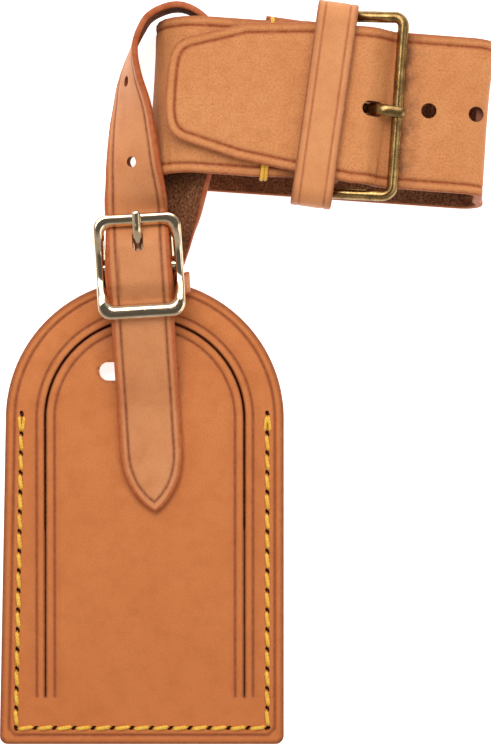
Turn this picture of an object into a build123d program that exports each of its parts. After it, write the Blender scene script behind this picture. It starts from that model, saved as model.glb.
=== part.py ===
from build123d import *
import os
from math import cos, radians, sin

os.makedirs("parts", exist_ok=True)

# A leather luggage tag lying on a table, face up. Every place below is measured from the tag:
# x from its centre line, y from its bottom edge, z from the table. Millimetres and degrees.

# Where the origin is, the middle of the whole object on the table
middle_x = 23.07
middle_y = 85.29

# Tag
tag_radius = 32.0
tag_straight = 75.0
tag_flare = 1.5
tag_corner = 2.0
layer_thickness = 1.8
tag_lean = 1.3
slit_radius = 22.9
slit_width = 0.5
slit_bottom = 11.0
slot_length = 19.0
slot_height = 4.3
slot_x = -1.0
slot_y = 85.9
card_width = 42.0
card_height = 66.0
card_bottom = 13.5
card_thickness = 0.4
card_room = 0.1
stitch_inset = 3.8
stitch_pitch = 4.45
thread = 0.8
thread_in_hole = 0.3
stitch_top = 76.2

# Narrow strap
strap_width = 14.4
strap_thickness = 1.5
strap_turn = 3.5
tip_length = 13.0
bar_x = -1.05
bar_y = 109.9
bar_z = 11.0
bar_radius = 0.9
skived = 0.9
strap_hole = 2.5

# Small buckle
buckle_width = 20.1
buckle_length = 24.0
buckle_rail = 2.0
buckle_corner = 3.0
top_bar = 2.8
bottom_bar = 3.4
prong_width = 2.0
prong_thickness = 1.4
pin_play = 0.06

# Strap keeper
strap_keeper_width = 5.0
strap_keeper_thickness = 0.65
strap_keeper_inside = 18.2
strap_keeper_low = 6.1
strap_keeper_high = 10.15
strap_keeper_s = -7.0
strap_keeper_shift = 1.2

# Wide wrap band
ring_x = 39.95
ring_y = 146.7
ring_turn = -4.0
band_width = 35.5
band_thickness = 2.0
ring_left = -37.0
ring_right = 37.5
base_z = 18.6
tongue_z = 21.2
band_hole = 3.5
band_hole_pitch = 12.0

# Large buckle
heel_u = 3.2
heel_z = 16.2
heel_turn = -8.0
wire_radius = 1.3
frame_height = 43.0
frame_reach = 14.0
frame_rise = 2.7
frame_corner = 2.2
large_prong_width = 2.7
large_prong_thickness = 1.7

# Wrap keeper
wrap_keeper_width = 9.2
wrap_keeper_thickness = 1.6
wrap_keeper_height = 47.0
wrap_keeper_u = -2.0
wrap_keeper_low = 10.7
wrap_keeper_high = 24.2


def spot(x, y, z=0.0):
    return Vector(x - middle_x, y - middle_y, z)


def seen_from_above(origin, turn):
    return Plane(origin=origin, x_dir=(cos(radians(turn)), sin(radians(turn)), 0), z_dir=(0, 0, 1))


def side_on(origin, turn):
    """The upright plane whose x runs along the turned x, and whose y is up."""
    along = Vector(cos(radians(turn)), sin(radians(turn)), 0)
    return Plane(origin=origin, x_dir=along, z_dir=along.cross(Vector(0, 0, 1)))


def strip(plane, points, radii, thickness, width):
    """Leather of one thickness along a side-on path, made as wide as asked about the plane."""
    with BuildPart() as leather:
        with BuildSketch(plane):
            with BuildLine():
                FilletPolyline(*points, radius=radii)
            trace(line_width=thickness)
        extrude(amount=width / 2, both=True)
    return leather.part


def twisted_run(stations, width, thickness):
    """Leather through stations of x, y, z and the angle that its width stands up from the table."""
    places = [spot(x, y, z) for x, y, z, stand, turn in stations]
    with BuildPart() as leather:
        for i, (x, y, z, stand, turn) in enumerate(stations):
            along = (places[min(i + 1, len(places) - 1)] - places[max(i - 1, 0)]).normalized()
            if turn is not None:
                along = Vector(-sin(radians(turn)), cos(radians(turn)), 0) * (1 if i == 0 else -1)
            across = Vector(cos(radians(stand)), 0, sin(radians(stand)))
            across = (across - along * across.dot(along)).normalized()
            with BuildSketch(Plane(origin=places[i], x_dir=across, z_dir=along)):
                Rectangle(width, thickness)
        loft(ruled=True)
    return leather.part


# Tag ---------------------------------------------------------------------------------------

tag_origin = spot(0, 0)
tag_normal = Vector(0, -sin(radians(tag_lean)), cos(radians(tag_lean)))


def tag_plane(height):
    return Plane(origin=tag_origin + tag_normal * height, x_dir=(1, 0, 0), z_dir=tag_normal)


def leather_layer(low):
    """One layer of the tag, with the slot that the strap goes through."""
    corner_left = (-tag_radius - tag_flare, 0)
    corner_right = (tag_radius, 0)
    with BuildPart() as layer:
        with BuildSketch(tag_plane(low)) as outline:
            with BuildLine():
                Line((-tag_radius, tag_straight), corner_left)
                Line(corner_left, corner_right)
                Line(corner_right, (tag_radius, tag_straight))
                CenterArc((0, tag_straight), tag_radius, 0, 180)
            make_face()
            fillet(outline.vertices().group_by(Axis.Y)[0], tag_corner)
            with Locations((slot_x, slot_y)):
                SlotOverall(slot_length, slot_height, mode=Mode.SUBTRACT)
        extrude(amount=layer_thickness)
    return layer.part


with BuildPart() as tag_stitching:
    tag_thickness = 2 * layer_thickness
    side_count = round((stitch_top - stitch_inset) / stitch_pitch)
    bottom_left = -tag_radius - tag_flare + stitch_inset
    bottom_right = tag_radius - stitch_inset
    bottom_count = round((bottom_right - bottom_left) / stitch_pitch)
    left_slope = tag_flare / tag_straight
    hole_places = []
    stitch_places = []
    for i in range(side_count + 1):
        y = stitch_inset + i * (stitch_top - stitch_inset) / side_count
        left = bottom_left + left_slope * (y - stitch_inset)
        hole_places += [(left, y), (bottom_right, y)]
        if i < side_count:
            middle = y + stitch_pitch / 2
            stitch_places += [(left + left_slope * stitch_pitch / 2, middle, 90), (bottom_right, middle, 90)]
    for i in range(bottom_count):
        step = (bottom_right - bottom_left) / bottom_count
        stitch_places.append((bottom_left + (i + 0.5) * step, stitch_inset, 0))
        if i > 0:
            hole_places.append((bottom_left + i * step, stitch_inset))
    for height in (0, tag_thickness):
        with BuildSketch(tag_plane(height - thread / 2 if height else 0)):
            for x, y, turn in stitch_places:
                with Locations(Location((x, y), turn)):
                    Rectangle(stitch_pitch, thread)
        extrude(amount=thread / 2 + 0.15)
    with BuildSketch(tag_plane(0)):
        with Locations(*hole_places):
            Circle(thread_in_hole)
    extrude(amount=tag_thickness)

with BuildPart() as back_panel:
    add(leather_layer(0))
    # The shallow pocket that the card lies in
    with BuildSketch(tag_plane(layer_thickness)):
        with Locations((0, card_bottom + card_height / 2)):
            Rectangle(card_width + 2 * card_room, card_height + 2 * card_room)
    extrude(amount=-card_thickness - card_room, mode=Mode.SUBTRACT)
    add(tag_stitching.part, mode=Mode.SUBTRACT)

with BuildPart() as front_panel:
    add(leather_layer(layer_thickness))
    # The slit that frees the window flap on three sides
    with BuildSketch(tag_plane(layer_thickness)):
        with BuildLine():
            Line((-slit_radius, slit_bottom), (-slit_radius, tag_straight))
            CenterArc((0, tag_straight), slit_radius, 180, -180)
            Line((slit_radius, tag_straight), (slit_radius, slit_bottom))
        trace(line_width=slit_width)
    extrude(amount=layer_thickness, mode=Mode.SUBTRACT)
    add(tag_stitching.part, mode=Mode.SUBTRACT)

with BuildPart() as address_card:
    with BuildSketch(tag_plane(layer_thickness - card_thickness - card_room / 2)):
        with Locations((0, card_bottom + card_height / 2)):
            RectangleRounded(card_width, card_height, 2)
    extrude(amount=card_thickness)

# Narrow strap ------------------------------------------------------------------------------

bar_spot = spot(bar_x, bar_y)
strap_top = seen_from_above(bar_spot, strap_turn)
strap_side = side_on(bar_spot, strap_turn + 90)


def strap_place(along, up):
    """A place on the strap's line, as a station of the twisted run."""
    turn = radians(strap_turn)
    return (bar_x - along * sin(turn), bar_y + along * cos(turn), up)


free_start = 13.0
free_end = 56.5
under_start = -8.0
under_z = 0.85
free_z = 10.75
free_path = [(-free_end, 5.7), (-32, 6.4), (-26, 8.5), (-11.5, 11.0), (-7.6, 11.05), (-3.8, bar_z + 2.75),
             (5.1, bar_z + 2.75), (9.0, free_z), (free_start, free_z)]
free_radii = [20, 20, 12, 2.2, 2.2, 2.2, 2.2]
main_path = [(under_start, under_z), (-24.6, under_z), (-24.6, 6.8), (-19.0, 6.85), (-13.8, 8.5), (-5.5, 8.55)]
main_radii = [1.6, 1.6, 6, 6]
wrap_reach = bar_radius + 0.1 + skived / 2
wrap_path = [(-9, 8.5), (-4.6, 8.6), (-1.3, bar_z + wrap_reach), (wrap_reach, bar_z + wrap_reach),
             (wrap_reach, bar_z - wrap_reach), (-0.6, bar_z - wrap_reach), (-4.2, 7.25), (-13, 7.25)]
wrap_radii = [1.5, 1.5, wrap_reach - 0.01, wrap_reach - 0.01, 1.2, 2.5]

# From the buckle up, over the top on edge, down inside the ring and back under the tag:
# x, y, z, how far the width stands up, and the strap's turn where it meets its flat ends
loop_stations = [
    (*strap_place(free_start, free_z), 0, strap_turn),
    (-1.9, 127.2, 13.0, 17, None),
    (-2.4, 133.5, 14.4, 32, None),
    (-2.7, 139.3, 13.6, 42, None),
    (-3.0, 145.4, 12.0, 53, None),
    (-3.4, 152.1, 10.6, 69, None),
    (-2.5, 159.5, 9.9, 86, None),
    (-0.6, 164.4, 9.8, 90, None),
    (1.1, 167.1, 9.8, 90, None),
    (4.5, 169.1, 9.8, 90, None),
    (7.7, 169.7, 9.8, 90, None),
    (10.6, 169.0, 9.8, 90, None),
    (13.4, 167.1, 9.8, 90, None),
    (15.4, 164.4, 9.8, 90, None),
    (16.4, 160.5, 9.8, 89, None),
    (16.2, 154.0, 9.8, 84, None),
    (14.9, 147.0, 9.7, 74, None),
    (13.0, 140.5, 9.4, 62, None),
    (11.6, 134.5, 8.8, 52, None),
    (10.0, 130.2, 8.2, 46, None),
    (7.9, 126.0, 6.5, 35, None),
    (5.2, 121.0, 3.9, 20, None),
    (3.4, 116.0, 2.2, 9, None),
    (1.8, 111.5, 1.25, 2, None),
    (0.7, 108.0, 0.9, 0, None),
    (0.0, 105.2, under_z, 0, None),
    (*strap_place(under_start, under_z), 0, strap_turn),
]

# The bar through the fold
with BuildPart() as small_buckle_bar:
    with BuildSketch(Plane(bar_spot + Vector(0, 0, bar_z), x_dir=strap_side.x_dir, z_dir=strap_side.z_dir)):
        Circle(bar_radius)
    extrude(amount=buckle_width / 2 - 0.3, both=True)

with BuildPart() as strap_fold_stitching:
    # One short stitch through both layers of the fold
    stitch_s = -12.2
    stitch_half = 4.0
    stitch_low = 6.85
    stitch_high = 9.2
    with BuildSketch(strap_top.offset(stitch_low)):
        with Locations((-stitch_half, stitch_s), (stitch_half, stitch_s)):
            Circle(thread_in_hole)
    extrude(amount=stitch_high - stitch_low)
    with BuildSketch(strap_top.offset(stitch_high - 0.1)):
        with Locations((0, stitch_s)):
            SlotCenterToCenter(2 * stitch_half, thread)
    extrude(amount=0.4)

with BuildPart() as tag_strap:
    add(strip(strap_side, free_path, free_radii, strap_thickness, strap_width))
    # The pointed tip
    with BuildSketch(strap_top):
        with Locations((0, -free_end + tip_length / 2 - 1)):
            Rectangle(2 * strap_width, tip_length + 2)
        with BuildLine():
            left = (-strap_width / 2, -free_end + tip_length + 1)
            right = (strap_width / 2, -free_end + tip_length + 1)
            Line(left, right)
            Bezier(left, (-strap_width / 2, -free_end + 5), (-1.5, -free_end + 0.6), (0, -free_end))
            Bezier(right, (strap_width / 2, -free_end + 5), (1.5, -free_end + 0.6), (0, -free_end))
        make_face(mode=Mode.SUBTRACT)
    extrude(amount=strap_thickness * 6, mode=Mode.SUBTRACT)
    add(twisted_run(loop_stations, strap_width, strap_thickness))
    add(strip(strap_side, main_path, main_radii, strap_thickness, strap_width))
    add(strip(strap_side, wrap_path, wrap_radii, skived, strap_width))
    # The hole that the prong is in, and the gap in the fold that lets it turn
    with BuildSketch(strap_top.offset(bar_z + 0.5)):
        with Locations((0, 5.7)):
            SlotOverall(4.8, strap_hole, rotation=90)
    extrude(amount=5, mode=Mode.SUBTRACT)
    with BuildSketch(strap_top.offset(bar_z - 2.2)):
        with Locations((0, 0.5)):
            Rectangle(prong_width + 0.6, 5.4)
    extrude(amount=4.15, mode=Mode.SUBTRACT)
    # The spare holes further up
    for station in (2, 5):
        x, y, z, stand, turn = loop_stations[station]
        facing = Plane(origin=spot(x, y, z), z_dir=(-sin(radians(stand)), 0, cos(radians(stand))))
        with BuildSketch(facing):
            Circle(strap_hole / 2)
        extrude(amount=2, both=True, mode=Mode.SUBTRACT)
    add(strap_fold_stitching.part, mode=Mode.SUBTRACT)

with BuildPart() as strap_keeper:
    keeper_height = strap_keeper_high - strap_keeper_low
    keeper_place = strap_top.from_local_coords(
        Vector(strap_keeper_shift, strap_keeper_s, strap_keeper_low + keeper_height / 2))
    with BuildSketch(Plane(origin=keeper_place, x_dir=strap_top.x_dir, z_dir=strap_top.y_dir)):
        RectangleRounded(strap_keeper_inside + 2 * strap_keeper_thickness, keeper_height, 1.8)
        RectangleRounded(strap_keeper_inside, keeper_height - 2 * strap_keeper_thickness, 0.5,
                         mode=Mode.SUBTRACT)
    extrude(amount=strap_keeper_width / 2, both=True)

# Small buckle ------------------------------------------------------------------------------

with BuildPart() as small_buckle_frame:
    half = buckle_length / 2
    rail_path = [(-half, 12.95), (-7.4, 12.95), (-3.4, bar_z), (3.4, bar_z), (7.8, 12.8), (half, 12.8)]
    add(strip(strap_side, rail_path, [3, 3, 3, 3], buckle_rail, buckle_width))
    with BuildSketch(strap_top):
        RectangleRounded(buckle_width, buckle_length, buckle_corner)
    extrude(amount=20, mode=Mode.INTERSECT)
    with BuildSketch(strap_top):
        with Locations((0, (bottom_bar - top_bar) / 2)):
            Rectangle(buckle_width - 2 * buckle_rail, buckle_length - top_bar - bottom_bar)
    extrude(amount=20, mode=Mode.SUBTRACT)
    add(small_buckle_bar.part, mode=Mode.SUBTRACT)

small_prong_path = [(1.0, bar_z + 0.7), (4.2, bar_z + 1.15), (8.0, bar_z + 3.55), (12.7, bar_z + 3.6)]


def prong(plane, path, radii, thickness, width, hole_centre, hole_radius, wall):
    """A flat prong whose root is an eye round its bar."""
    with BuildPart() as piece:
        add(strip(plane, path, radii, thickness, width))
        with BuildSketch(plane):
            with Locations(hole_centre):
                Circle(hole_radius + wall)
        extrude(amount=width / 2, both=True)
        with BuildSketch(plane):
            with Locations(hole_centre):
                Circle(hole_radius)
        extrude(amount=width, both=True, mode=Mode.SUBTRACT)
    return piece.part


with BuildPart() as small_buckle_prong:
    add(prong(strap_side, small_prong_path, [1.5, 1.5], prong_thickness, prong_width, (0, bar_z),
              bar_radius + pin_play, 0.85))

# Wide wrap band ----------------------------------------------------------------------------

ring_spot = spot(ring_x, ring_y)
ring_top = seen_from_above(ring_spot, ring_turn)
ring_side = side_on(ring_spot, ring_turn)
heel_spot = ring_top.from_local_coords(Vector(heel_u, 0, 0))
heel_top = seen_from_above(heel_spot, heel_turn)
heel_side = side_on(heel_spot, heel_turn)

ring_path = [(-35.4, tongue_z), (10.3, tongue_z), (15.0, 16.3), (ring_right, 15.8), (ring_right, 1.0),
             (ring_left, 1.0), (ring_left, base_z), (-2.0, base_z)]
ring_radii = [3.5, 3.0, 3.6, 4.0, 4.5, 11.0]
wrap_centre = wire_radius + 0.1 + band_thickness / 2
heel_path = [(-8, base_z), (wrap_centre, base_z), (wrap_centre, heel_z - wrap_centre),
             (-1.0, heel_z - wrap_centre), (-6.5, heel_z + 0.3), (-18.4, heel_z + 0.3)]
tongue_outline = [(-31.3, 12.6), (-17.8, 16.6), (-4.0, 17.75), (8.0, 17.75), (8.0, -17.75), (-4.0, -16.2),
                  (-17.8, -14.2), (-31.3, -11.0)]
tongue_tip = (-35.9, 1.0)

with BuildPart() as wrap_fold_stitching:
    across_count = 7
    stitch_u = -13.4
    lower_face = heel_z + 0.3 - band_thickness / 2
    upper_face = base_z + band_thickness / 2
    span = band_width - 5
    rows = [-span / 2 + i * span / across_count for i in range(across_count + 1)]
    with BuildSketch(ring_top.offset(lower_face)):
        with Locations(*[(stitch_u, row) for row in rows]):
            Circle(thread_in_hole)
    extrude(amount=upper_face - lower_face)
    for height in (lower_face - 0.2, upper_face - 0.2):
        with BuildSketch(ring_top.offset(height)):
            for row in rows[:-1]:
                with Locations((stitch_u, row + span / across_count / 2)):
                    Rectangle(thread, span / across_count)
        extrude(amount=thread / 2)

with BuildPart() as wrap_band:
    add(strip(ring_side, ring_path, ring_radii, band_thickness, band_width))
    heel_radii = [wrap_centre - 0.01, wrap_centre - 0.01, 3, 4]
    add(strip(heel_side, heel_path, heel_radii, band_thickness, band_width + 8))
    with BuildSketch(ring_top):
        Rectangle(3 * band_width, band_width)
    extrude(amount=30, mode=Mode.INTERSECT)
    # The free end narrows to a rounded tip
    with BuildSketch(ring_top.offset(base_z + band_thickness / 2 + 0.2)):
        with Locations((-18, 0)):
            Rectangle(50, band_width + 4)
        with BuildLine():
            Polyline(*tongue_outline)
            Bezier(tongue_outline[-1], (-35.6, -9.4), (tongue_tip[0], -6), tongue_tip)
            Bezier(tongue_outline[0], (-35.6, 11.2), (tongue_tip[0], 8), tongue_tip)
        make_face(mode=Mode.SUBTRACT)
    extrude(amount=4, mode=Mode.SUBTRACT)
    # The hole in use, stretched by the prong, and the two beyond it
    with BuildSketch(ring_top.offset(14.0)):
        with Locations((12.15, -0.65)):
            SlotOverall(5.0, band_hole, rotation=heel_turn - ring_turn)
        with Locations((12.9 + band_hole_pitch, 0), (12.9 + 1.9 * band_hole_pitch, 0)):
            Circle(band_hole / 2)
    extrude(amount=9, mode=Mode.SUBTRACT)
    # The gap in the heel fold that the prong turns in
    with BuildSketch(heel_top.offset(heel_z - 4)):
        with Locations((1.0, 0)):
            Rectangle(8.0, large_prong_width + 0.8)
    extrude(amount=7.6, mode=Mode.SUBTRACT)
    add(wrap_fold_stitching.part, mode=Mode.SUBTRACT)

# Large buckle ------------------------------------------------------------------------------

rise = Vector(frame_reach, 0, frame_rise).normalized()
frame_along = heel_top.x_dir * rise.X + heel_top.z_dir * rise.Z
frame_normal = heel_top.z_dir * rise.X - heel_top.x_dir * rise.Z
frame_plane = Plane(origin=heel_spot + Vector(0, 0, heel_z), x_dir=frame_along, z_dir=frame_normal)
frame_span = Vector(frame_reach, 0, frame_rise).length

with BuildPart() as large_buckle_frame:
    with BuildLine(frame_plane) as wire:
        half = frame_height / 2 - wire_radius
        FilletPolyline((0, 0), (0, half), (frame_span, half), (frame_span, -half), (0, -half), (0, -0.001),
                       radius=frame_corner)
    with BuildSketch(Plane(origin=wire.line @ 0, z_dir=wire.line % 0)):
        Circle(wire_radius)
    sweep()

large_prong_path = [(1.5, heel_z + 0.9), (7.7, heel_z + 2.2), (11.2, heel_z + 4.95), (16.5, heel_z + 5.0)]

with BuildPart() as large_buckle_prong:
    add(prong(heel_side, large_prong_path, [2, 3], large_prong_thickness, large_prong_width, (0, heel_z),
              wire_radius + pin_play, 0.95))

# Wrap keeper -------------------------------------------------------------------------------

with BuildPart() as wrap_keeper:
    keeper_height = wrap_keeper_high - wrap_keeper_low
    keeper_spot = heel_top.from_local_coords(Vector(wrap_keeper_u, 0, wrap_keeper_low + keeper_height / 2))
    with BuildSketch(Plane(origin=keeper_spot, x_dir=heel_top.y_dir, z_dir=heel_top.x_dir)):
        RectangleRounded(wrap_keeper_height, keeper_height, 4.5)
        RectangleRounded(wrap_keeper_height - 2 * wrap_keeper_thickness,
                         keeper_height - 2 * wrap_keeper_thickness, 2.9, mode=Mode.SUBTRACT)
    extrude(amount=wrap_keeper_width / 2, both=True)

pieces = {
    "back_panel": back_panel,
    "front_panel": front_panel,
    "address_card": address_card,
    "tag_stitching": tag_stitching,
    "tag_strap": tag_strap,
    "strap_fold_stitching": strap_fold_stitching,
    "strap_keeper": strap_keeper,
    "small_buckle_frame": small_buckle_frame,
    "small_buckle_bar": small_buckle_bar,
    "small_buckle_prong": small_buckle_prong,
    "wrap_band": wrap_band,
    "wrap_fold_stitching": wrap_fold_stitching,
    "wrap_keeper": wrap_keeper,
    "large_buckle_frame": large_buckle_frame,
    "large_buckle_prong": large_buckle_prong,
}
for label, piece in pieces.items():
    piece.part.label = label
    export_step(piece.part, f"parts/{label}.step")
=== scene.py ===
import bpy
import math
import random
import numpy as np
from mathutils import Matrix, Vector


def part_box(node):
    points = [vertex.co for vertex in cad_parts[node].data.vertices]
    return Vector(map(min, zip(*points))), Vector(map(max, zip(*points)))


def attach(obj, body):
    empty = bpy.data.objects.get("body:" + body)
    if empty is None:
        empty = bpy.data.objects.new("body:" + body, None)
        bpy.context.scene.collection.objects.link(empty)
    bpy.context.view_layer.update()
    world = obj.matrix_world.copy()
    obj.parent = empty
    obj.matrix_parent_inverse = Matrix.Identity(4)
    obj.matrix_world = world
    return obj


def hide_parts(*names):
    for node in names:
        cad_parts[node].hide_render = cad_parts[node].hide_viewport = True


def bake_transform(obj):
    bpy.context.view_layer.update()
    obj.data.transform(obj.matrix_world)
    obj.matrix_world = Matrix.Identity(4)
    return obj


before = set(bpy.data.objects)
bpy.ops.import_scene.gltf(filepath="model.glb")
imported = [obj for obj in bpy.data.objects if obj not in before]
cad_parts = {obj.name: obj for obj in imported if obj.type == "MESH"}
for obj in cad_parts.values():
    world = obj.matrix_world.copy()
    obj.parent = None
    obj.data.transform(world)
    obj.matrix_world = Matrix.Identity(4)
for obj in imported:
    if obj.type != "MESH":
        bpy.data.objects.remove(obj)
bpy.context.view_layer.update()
mm = 0.001
random.seed(7)
print("frame loaded")

# lengths below are in millimetres from the middle of the tag's foot, as on a bench drawing
tagHalfWidth = 32.0
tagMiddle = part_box("back_panel")[1].x / mm - tagHalfWidth
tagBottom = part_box("back_panel")[0].y / mm + 0.04       # the leaning back layer's upper edge reaches past its foot
tagLean = math.radians(1.3)
upward = np.array((0.0, 0.0, 1.0))


def turned(angle):
    a = math.radians(angle)
    return np.array((math.cos(a), math.sin(a), 0.0)), np.array((-math.sin(a), math.cos(a), 0.0))


def benchPoint(x, y, z):
    return np.array((x + tagMiddle, y + tagBottom, z))


def pickNothing():
    if bpy.context.object and bpy.context.object.mode != "OBJECT":
        bpy.ops.object.mode_set(mode="OBJECT")
    bpy.ops.object.select_all(action="DESELECT")


def pickOnly(obj):
    pickNothing()
    obj.select_set(True)
    bpy.context.view_layer.objects.active = obj


def nameIt(obj, name):
    obj.name = name
    obj.data.name = name
    return obj


def editMode(obj, mode, select="SELECT"):
    # into edit mode with one kind of selection, all or nothing picked
    pickOnly(obj)
    bpy.ops.object.mode_set(mode="EDIT")
    bpy.ops.mesh.select_mode(type=mode)
    bpy.ops.mesh.select_all(action=select)


def leaveEdit():
    bpy.ops.object.mode_set(mode="OBJECT")


def finishModifier(obj, kind, **values):
    pickOnly(obj)
    modifier = obj.modifiers.new(kind.title(), kind)
    for key, value in values.items():
        setattr(modifier, key, value)
    bpy.ops.object.modifier_apply(modifier=modifier.name)


def giveMaterials(obj, *materials):
    obj.data.materials.clear()
    for material in materials:
        obj.data.materials.append(material)


def smoothByAngle(obj, degrees=40):
    pickOnly(obj)
    bpy.ops.object.shade_smooth_by_angle(angle=math.radians(degrees))


def joinPieces(pieces, name):
    pickNothing()
    for piece in pieces:
        piece.select_set(True)
    bpy.context.view_layer.objects.active = pieces[0]
    bpy.ops.object.join()
    return nameIt(bpy.context.object, name)


def evenly(low, high, step):
    count = max(2, int(round(abs(high - low) / step)) + 1)
    return list(np.linspace(low, high, count))


def roundedPath(points, radii, turnStep=12):
    # a polyline with an arc at each inner corner
    path = [np.array(points[0], float)]
    for i, radius in enumerate(radii, 1):
        before, corner, after = (np.array(points[k], float) for k in (i - 1, i, i + 1))
        toBefore = (before - corner) / np.linalg.norm(before - corner)
        toAfter = (after - corner) / np.linalg.norm(after - corner)
        inside = math.acos(max(-1, min(1, float(toBefore @ toAfter))))
        turn = math.pi - inside
        reach = radius * math.tan(turn / 2)
        inward = toBefore + toAfter
        centre = corner + inward / np.linalg.norm(inward) * radius / math.sin(inside / 2)
        start, end = corner + toBefore * reach - centre, corner + toAfter * reach - centre
        steps = max(2, int(math.degrees(turn) / turnStep))
        for t in (k / steps for k in range(steps + 1)):
            path.append(centre + (math.sin((1 - t) * turn) * start + math.sin(t * turn) * end) / math.sin(turn))
    path.append(np.array(points[-1], float))
    return path


def throughPoints(points, steps=8):
    # a smooth run that passes through every point (centripetal spacing)
    p = [np.array(q, float) for q in points]
    p = [2 * p[0] - p[1]] + p + [2 * p[-1] - p[-2]]
    run = []
    for i in range(1, len(p) - 2):
        t = [0.0]
        for a, b in ((i - 1, i), (i, i + 1), (i + 1, i + 2)):
            t.append(t[-1] + max(1e-6, np.linalg.norm(p[b][:3] - p[a][:3])) ** 0.5)
        for k in range(steps):
            u = t[1] + (t[2] - t[1]) * k / steps
            a1 = ((t[1] - u) * p[i - 1] + (u - t[0]) * p[i]) / (t[1] - t[0])
            a2 = ((t[2] - u) * p[i] + (u - t[1]) * p[i + 1]) / (t[2] - t[1])
            a3 = ((t[3] - u) * p[i + 1] + (u - t[2]) * p[i + 2]) / (t[3] - t[2])
            b1 = ((t[2] - u) * a1 + (u - t[0]) * a2) / (t[2] - t[0])
            b2 = ((t[3] - u) * a2 + (u - t[1]) * a3) / (t[3] - t[1])
            run.append(((t[2] - u) * b1 + (u - t[1]) * b2) / (t[2] - t[1]))
    run.append(p[-2])
    return run


def alongRoute(route, places):
    # the route's values at lengths along it
    route = np.array(route)
    steps = np.linalg.norm(np.diff(route[:, :3], axis=0), axis=1)
    lengths = np.concatenate(([0], np.cumsum(steps)))
    return np.stack([np.interp(places, lengths, route[:, k]) for k in range(route.shape[1])], axis=1)


def routeLength(route):
    route = np.array(route)[:, :3]
    return float(np.linalg.norm(np.diff(route, axis=0), axis=1).sum())


def outlineDistance(points, outline):
    # how far each flat point is from the outline
    best = np.full(len(points), 1e9)
    for a, b in zip(outline, outline[1:]):
        a, b = np.array(a), np.array(b)
        t = np.clip(((points - a) @ (b - a)) / max(1e-9, (b - a) @ (b - a)), 0, 1)
        best = np.minimum(best, np.linalg.norm(points - a - t[:, None] * (b - a), axis=1))
    return best


def groove(distance, at, width):
    return np.exp(-((distance - at) / width) ** 2)


def gridSheet(name, rows, columns):
    # a flat grid whose vertices are placed afterwards, row by row
    pickNothing()
    bpy.ops.mesh.primitive_grid_add(x_subdivisions=columns - 1, y_subdivisions=rows - 1, size=1, calc_uvs=True)
    return nameIt(bpy.context.object, name)


def placeGrid(sheet, positions, flat, attributes):
    # positions and flat are rows x columns; flat places are kept as the piece's own map
    mesh = sheet.data
    mesh.vertices.foreach_set("co", (positions.reshape(-1, 3) * mm).ravel())
    flat = flat.reshape(-1, 2)
    uv = mesh.uv_layers[0]
    uv.name = "flat"
    corners = np.zeros(len(mesh.loops), int)
    mesh.loops.foreach_get("vertex_index", corners)
    uv.data.foreach_set("uv", (flat[corners] * 0.01).ravel())
    for key, values in attributes.items():
        attribute = mesh.attributes.new(key, "FLOAT", "POINT")
        attribute.data.foreach_set("value", values.reshape(-1).astype(np.float32))
    mesh.update()


def closeSeams(obj, threshold=0.02):
    # the sheet's sides are sewn together and its open ends filled
    editMode(obj, "VERT")
    bpy.ops.mesh.remove_doubles(threshold=threshold * mm)
    bpy.ops.mesh.dissolve_degenerate(threshold=0.005 * mm)
    bpy.ops.mesh.select_all(action="DESELECT")
    bpy.ops.mesh.select_mode(type="EDGE")
    bpy.ops.mesh.select_non_manifold(extend=False, use_wire=False, use_multi_face=False,
                                     use_non_contiguous=False, use_verts=False)
    bpy.ops.mesh.edge_face_add()
    bpy.ops.mesh.select_mode(type="VERT")
    bpy.ops.mesh.select_all(action="SELECT")
    bpy.ops.mesh.normals_make_consistent(inside=False)
    leaveEdit()


# leather strips: a section with rounded edges and pressed lines, rolled along a route
edgeSteps = (0.0, 0.05, 0.16, 0.34, 0.62, 1.0)     # how the rounded edge is divided, as parts of its radius


def stripColumns(values):
    # distances in from each edge on the grain side, denser at the pressed line
    steps = [values["edgeRadius"] * s for s in edgeSteps]
    steps += [values["lineIn"] + k * values["lineWidth"] for k in (-2.2, -1.1, -0.5, 0, 0.5, 1.1, 2.2)]
    return [s for i, s in enumerate(steps) if i == 0 or s > steps[i - 1]]


def rounded(distance, radius):
    # how far a rounded edge has dropped at a distance in from it
    return radius - np.sqrt(np.clip(radius ** 2 - np.clip(radius - distance, 0, radius) ** 2, 0, None))


def sideShape(places, widths, low, high, outline):
    # the flat places of one side of a strip, and how far each is from the edge
    flat = np.stack((np.repeat(places[:, None], widths.shape[1], 1), widths), axis=2)
    if outline is None:
        return flat, np.minimum(widths - low[:, None], high[:, None] - widths)
    return flat, outlineDistance(flat.reshape(-1, 2), outline).reshape(widths.shape)


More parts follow.
